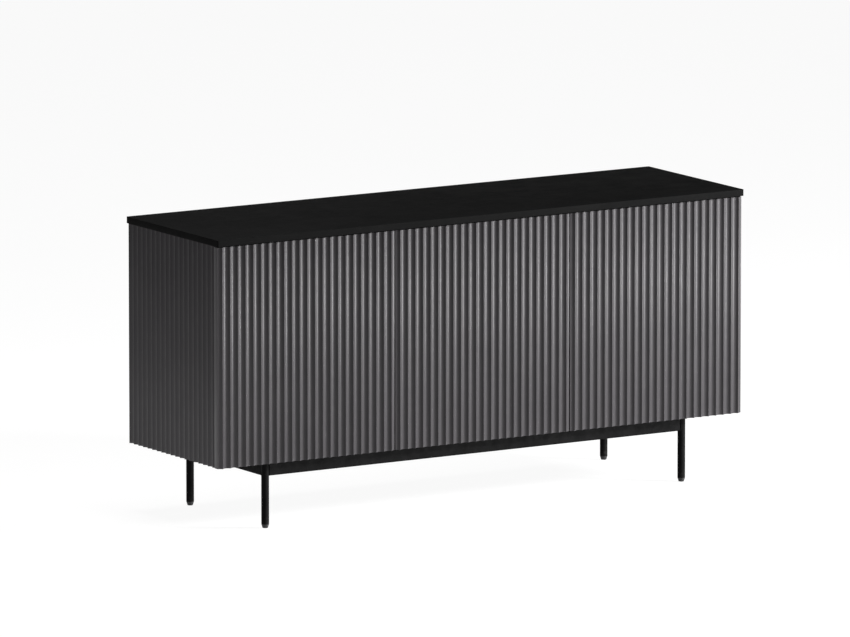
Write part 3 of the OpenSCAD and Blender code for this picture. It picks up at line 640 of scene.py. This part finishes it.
add_object("foot_glides_v", to_mesh(bm, "foot_glides_v"), MATS["plastic_black"], "cabinet", ("foot_glides",))


# ---------- floor, light and camera ----------

def plane(name, size, mat):
    """Flat square of the studio, not a part of the object."""
    bm = bmesh.new()
    bmesh.ops.create_grid(bm, x_segments=1, y_segments=1, size=size)
    mesh = bpy.data.meshes.new(name)
    bm.to_mesh(mesh)
    bm.free()
    mesh.materials.append(mat)
    ob = bpy.data.objects.new(name, mesh)
    bpy.context.scene.collection.objects.link(ob)
    return ob


plane("floor", FLOOR_REACH, floor_paint("floor_paint")).location.z = -FLOOR_DROP


def area_light(name, at, target, size, power):
    """White rectangular light at a place, pointed at a target."""
    data = bpy.data.lights.new(name, "AREA")
    data.shape = "RECTANGLE"
    data.size, data.size_y = size
    data.energy = power
    ob = bpy.data.objects.new(name, data)
    ob.location = at
    ob.rotation_euler = (Vector(target) - Vector(at)).to_track_quat("-Z", "Y").to_euler()
    bpy.context.scene.collection.objects.link(ob)
    return ob


# key lights the doors from the right front; sheen is a low strip whose reflection draws the bright line
# in each flute; bounce lights the left side from the floor; overhead lights the left half of the top
area_light("key", (3.9, -3.0, 2.3), (0.0, -0.2, 0.55), (1.0, 1.0), KEY_POWER)
area_light("sheen", (3.8, -4.2, 0.14), (0.0, -0.2, 0.6), (1.8, 0.24), SHEEN_POWER)
area_light("bounce", (-1.5, 0.0, 0.02), (-1.5, 0.0, 1.0), (1.2, 2.0), BOUNCE_POWER).visible_camera = False
area_light("overhead", (-0.65, 0.3, 2.1), (-0.6, 0.1, 0.7), (0.2, 1.0), OVERHEAD_POWER)

# The world is white at the horizon, where the floor ends, and dim above
world = bpy.data.worlds.new("studio")
bpy.context.scene.world = world
world.use_nodes = True
tree = world.node_tree
sky = tree.nodes.new("ShaderNodeTexCoord").outputs["Generated"]
height = tree.nodes.new("ShaderNodeSeparateXYZ")
tree.links.new(sky, height.inputs["Vector"])
fade = tree.nodes.new("ShaderNodeMapRange")
fade.interpolation_type = "SMOOTHSTEP"
fade.inputs["From Min"].default_value = HORIZON_LOW
fade.inputs["From Max"].default_value = HORIZON_HIGH
fade.inputs["To Min"].default_value = HORIZON_GLOW
fade.inputs["To Max"].default_value = WORLD_FILL
tree.links.new(height.outputs["Z"], fade.inputs["Value"])
tree.links.new(fade.outputs["Result"], tree.nodes["Background"].inputs["Strength"])
tree.nodes["Background"].inputs["Color"].default_value = (1.0, 1.0, 1.0, 1.0)

scene = bpy.context.scene
scene.view_settings.view_transform = "Standard"
scene.view_settings.look = "None"
scene.view_settings.exposure = 0.0

camera_data = bpy.data.cameras.new("camera")
camera_data.sensor_fit = "HORIZONTAL"
camera_data.sensor_width = SENSOR
camera_data.lens = LENS
camera_data.clip_start = 1.0
camera_data.clip_end = 200.0
camera_data.dof.use_dof = False
camera = bpy.data.objects.new("camera", camera_data)
scene.collection.objects.link(camera)
camera.rotation_euler = (math.pi / 2 - VIEW_PITCH, 0.0, -VIEW_YAW)
gaze = Vector((math.sin(VIEW_YAW) * math.cos(VIEW_PITCH), math.cos(VIEW_YAW) * math.cos(VIEW_PITCH),
               -math.sin(VIEW_PITCH)))
camera.location = AIM - VIEW_DISTANCE * gaze
scene.camera = camera
